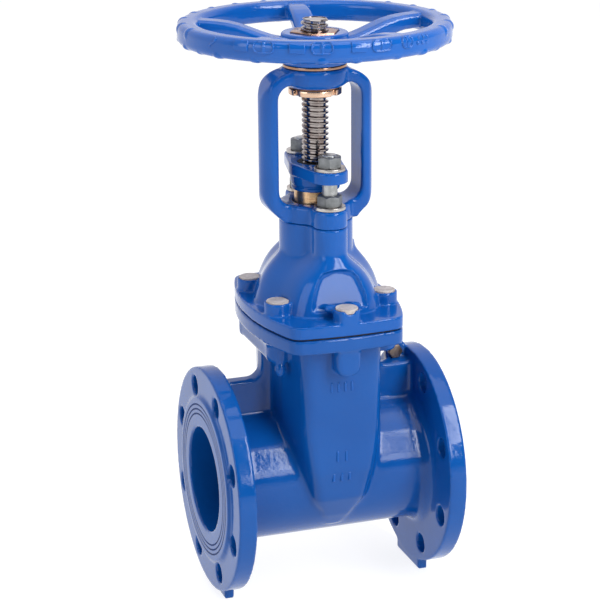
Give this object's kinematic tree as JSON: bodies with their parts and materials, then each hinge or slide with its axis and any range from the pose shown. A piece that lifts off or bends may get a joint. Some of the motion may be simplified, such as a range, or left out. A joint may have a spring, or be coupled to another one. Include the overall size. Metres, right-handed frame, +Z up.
{
  "type": "rising-stem gate valve",
  "caption": "Flanged rising-stem gate valve: tapered rubber-faced wedge, bolted bonnet, open yoke with threaded stem, round handwheel on top.",
  "frame": {"origin": "on the stem axis at the level of the feet, the bottom centre of the object", "axes": "+Z up the stem, +X along the pipe towards the outlet flange, +Y to the back"},
  "size_m": [0.25, 0.25, 0.5475],
  "materials": {
    "blue_epoxy_iron": "glossy blue epoxy over ductile iron",
    "zinc_steel": "dull zinc-plated steel",
    "brass": "machined brass, slightly browned",
    "black_rubber": "matte black EPDM",
    "stainless_stem": "turned stainless steel",
    "sealing_wax": "beige poured wax",
    "ductile_iron": "bare ductile iron",
    "nylon": "natural nylon"
  },
  "bodies": {
    "housing": {"valve_body": "blue_epoxy_iron", "earthing_screw": "zinc_steel", "bonnet_gasket": "black_rubber", "bonnet": "blue_epoxy_iron", "bonnet_bolts": "zinc_steel", "bolt_sealing_plugs": "sealing_wax", "yoke": "blue_epoxy_iron", "gland_studs": "zinc_steel", "yoke_washers": "zinc_steel", "yoke_nuts": "zinc_steel", "packing_rings": "black_rubber", "packing_base_ring": "brass", "back_seat_bush": "brass", "thrust_washer": "brass"},
    "gland": {"gland_flange": "blue_epoxy_iron", "gland_washers": "zinc_steel", "gland_bush": "brass", "stem_wiper": "black_rubber"},
    "nut_front": {"gland_nut_front": "zinc_steel"},
    "nut_back": {"gland_nut_back": "zinc_steel"},
    "wheel": {"handwheel": "blue_epoxy_iron", "wheel_set_screw": "zinc_steel", "stem_nut": "brass", "lock_ring": "brass"},
    "gate": {"stem": "stainless_stem", "wedge_core": "ductile_iron", "wedge_rubber": "black_rubber", "wedge_nut": "brass", "wedge_pin": "stainless_stem", "guide_shoes": "nylon"}
  },
  "joints": [
    {"name": "handwheel_turn", "type": "hinge", "parent": "housing", "child": "wheel", "pos_m": [0, 0, 0.504], "axis": [0, 0, 1], "range_deg": [0, 7920]},
    {"name": "stem_lift", "type": "slide", "parent": "housing", "child": "gate", "axis": [0, 0, 1], "range_m": [0, 0.11]},
    {"name": "gland_nut_front_turn", "type": "hinge", "parent": "gland", "child": "nut_front", "pos_m": [0, -0.0395, 0.414], "axis": [0, 0, 1], "range_deg": [-720, 0]},
    {"name": "gland_nut_back_turn", "type": "hinge", "parent": "gland", "child": "nut_back", "pos_m": [0, 0.0395, 0.414], "axis": [0, 0, 1], "range_deg": [-720, 0]},
    {"name": "gland_slide", "type": "slide", "parent": "housing", "child": "gland", "axis": [0, 0, 1], "range_m": [-0.004, 0], "deforming": ["packing_rings"]}
  ],
  "couplings": [
    {"joint": "stem_lift", "follows": "handwheel_turn", "m_per_rad": 0.00079577},
    {"joint": "gland_nut_front_turn", "follows": "gland_slide", "rad_per_m": 3141.6},
    {"joint": "gland_nut_back_turn", "follows": "gland_slide", "rad_per_m": 3141.6}
  ]
}
